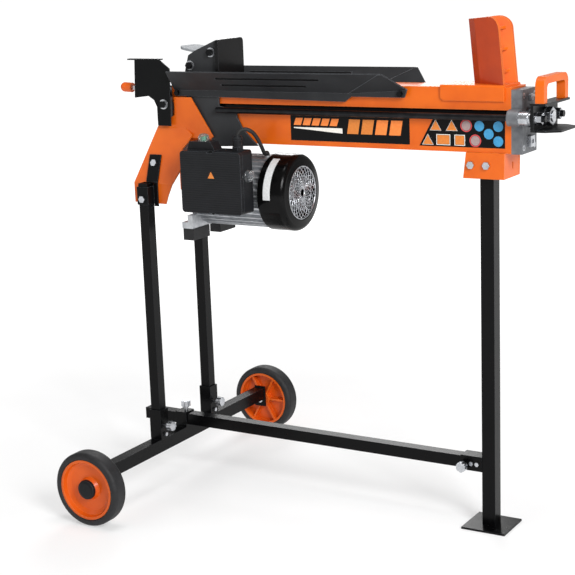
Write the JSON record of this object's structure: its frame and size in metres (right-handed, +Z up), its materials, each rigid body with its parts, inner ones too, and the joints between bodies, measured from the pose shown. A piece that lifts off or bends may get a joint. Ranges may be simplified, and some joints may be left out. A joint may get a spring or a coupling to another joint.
{
  "type": "log splitter",
  "caption": "Electric hydraulic log splitter with a beam, sliding pusher, fixed wedge and side trays on a raised wheeled stand with a motor and pump below.",
  "frame": {"origin": "on the ground, under the middle of the machine's outer size", "axes": "+X along the beam from the pusher to the wedge, +Z up, -Y the side with the switch box"},
  "size_m": [0.968, 0.71, 0.98],
  "materials": {
    "orange_paint": "glossy orange enamel",
    "orange_rim": "moulded orange plastic",
    "orange_grip": "dipped orange plastic",
    "black_sheet": "satin black powder coat",
    "black_tube": "gloss black paint",
    "black_plate": "gloss black paint on thick plate",
    "black_plastic": "fine-grained black plastic",
    "rubber_parts": "moulded black rubber",
    "tyre_rubber": "solid black tyre with a ground tread",
    "cast_grey": "grey painted casting",
    "motor_silver": "die cast aluminium, silver sprayed",
    "light_sheet": "light grey paint",
    "steel": "zinc plated steel",
    "chrome_rod": "hard chromed bar",
    "black_rod": "ground bar, black oxide",
    "clear_rubber": "clear flexible boot",
    "green_plastic": "green plastic",
    "dark_button": "dark plastic",
    "panel_film": "printed film with a clear coat"
  },
  "bodies": {
    "stand": {"upper_channel": "orange_paint", "lower_channel": "orange_paint", "cylinder_tube": "black_tube", "cylinder_head": "cast_grey", "head_fittings": "steel", "valve_body": "cast_grey", "lever_pin": "steel", "wedge_saddle": "orange_paint", "wedge": "orange_paint", "front_tray": "black_sheet", "rear_tray": "black_sheet", "cover_bolts": "steel", "lever_guard": "black_sheet", "front_side_bracket": "orange_paint", "rear_side_bracket": "orange_paint", "bracket_straps": "black_sheet", "stand_bolts": "steel", "left_legs": "black_tube", "axle_frame": "black_tube", "base_bar": "black_tube", "clamp_knobs": "steel", "foot_bracket": "orange_paint", "right_leg": "black_tube", "foot_plate": "black_tube", "leg_fittings": "black_tube", "pump_housing": "cast_grey", "motor_feet": "rubber_parts", "motor_shield": "motor_silver", "motor_housing": "motor_silver", "fan_cover": "black_plastic", "fan_grille": "steel", "switch_box": "black_plastic", "switch_box_cover": "black_plastic", "switch_boots": "clear_rubber", "cable_gland": "black_plastic", "motor_lead": "rubber_parts", "side_panels": "panel_film"},
    "ram": {"pusher_plate": "black_plate", "front_slide_plate": "black_plate", "rear_slide_plate": "black_plate", "pusher_cover": "light_sheet", "pusher_bolts": "steel", "pull_rods": "black_rod", "piston_rod": "chrome_rod", "yoke": "black_plate", "rod_nuts": "steel", "carry_handle": "orange_paint"},
    "lever": {"control_lever": "steel", "lever_grip": "orange_grip"},
    "spool": {"valve_spool": "steel"},
    "start": {"start_button": "green_plastic"},
    "reset": {"reset_button": "dark_button"},
    "rotor": {"motor_rotor": "steel"},
    "idler": {"idler_gear": "steel"},
    "front_wheel": {"front_rim": "orange_rim", "front_tyre": "tyre_rubber", "front_hub_cap": "black_plastic"},
    "rear_wheel": {"rear_rim": "orange_rim", "rear_tyre": "tyre_rubber", "rear_hub_cap": "black_plastic"}
  },
  "joints": [
    {"name": "ram_slide", "type": "slide", "parent": "stand", "child": "ram", "axis": [1, 0, 0], "range_m": [0, 0.37]},
    {"name": "lever_hinge", "type": "hinge", "parent": "stand", "child": "lever", "pos_m": [-0.366, -0.03, 0.838], "axis": [0, -1, 0], "range_deg": [0, 13], "stiffness_Nm_per_rad": 4, "springref_deg": -8.59},
    {"name": "spool_slide", "type": "slide", "parent": "stand", "child": "spool", "axis": [0, 0, -1], "range_m": [0, 0.0036]},
    {"name": "start_press", "type": "slide", "parent": "stand", "child": "start", "axis": [0, 0, -1], "range_m": [0, 0.003], "stiffness_N_per_m": 600, "springref_m": -0.002},
    {"name": "reset_press", "type": "slide", "parent": "stand", "child": "reset", "axis": [-1, 0, 0], "range_m": [0, 0.003], "stiffness_N_per_m": 600, "springref_m": -0.002},
    {"name": "motor_spin", "type": "hinge", "parent": "stand", "child": "rotor", "pos_m": [-0.2, 0, 0.636], "axis": [1, 0, 0], "continuous": true},
    {"name": "idler_spin", "type": "hinge", "parent": "stand", "child": "idler", "pos_m": [-0.326, 0, 0.666], "axis": [1, 0, 0], "continuous": true},
    {"name": "front_wheel_spin", "type": "hinge", "parent": "stand", "child": "front_wheel", "pos_m": [-0.388, -0.336, 0.076], "axis": [0, 1, 0], "continuous": true},
    {"name": "rear_wheel_spin", "type": "hinge", "parent": "stand", "child": "rear_wheel", "pos_m": [-0.388, 0.336, 0.076], "axis": [0, 1, 0], "continuous": true}
  ],
  "couplings": [
    {"joint": "spool_slide", "follows": "lever_hinge", "m_per_rad": 0.0148},
    {"joint": "idler_spin", "follows": "motor_spin", "ratio": -1}
  ]
}
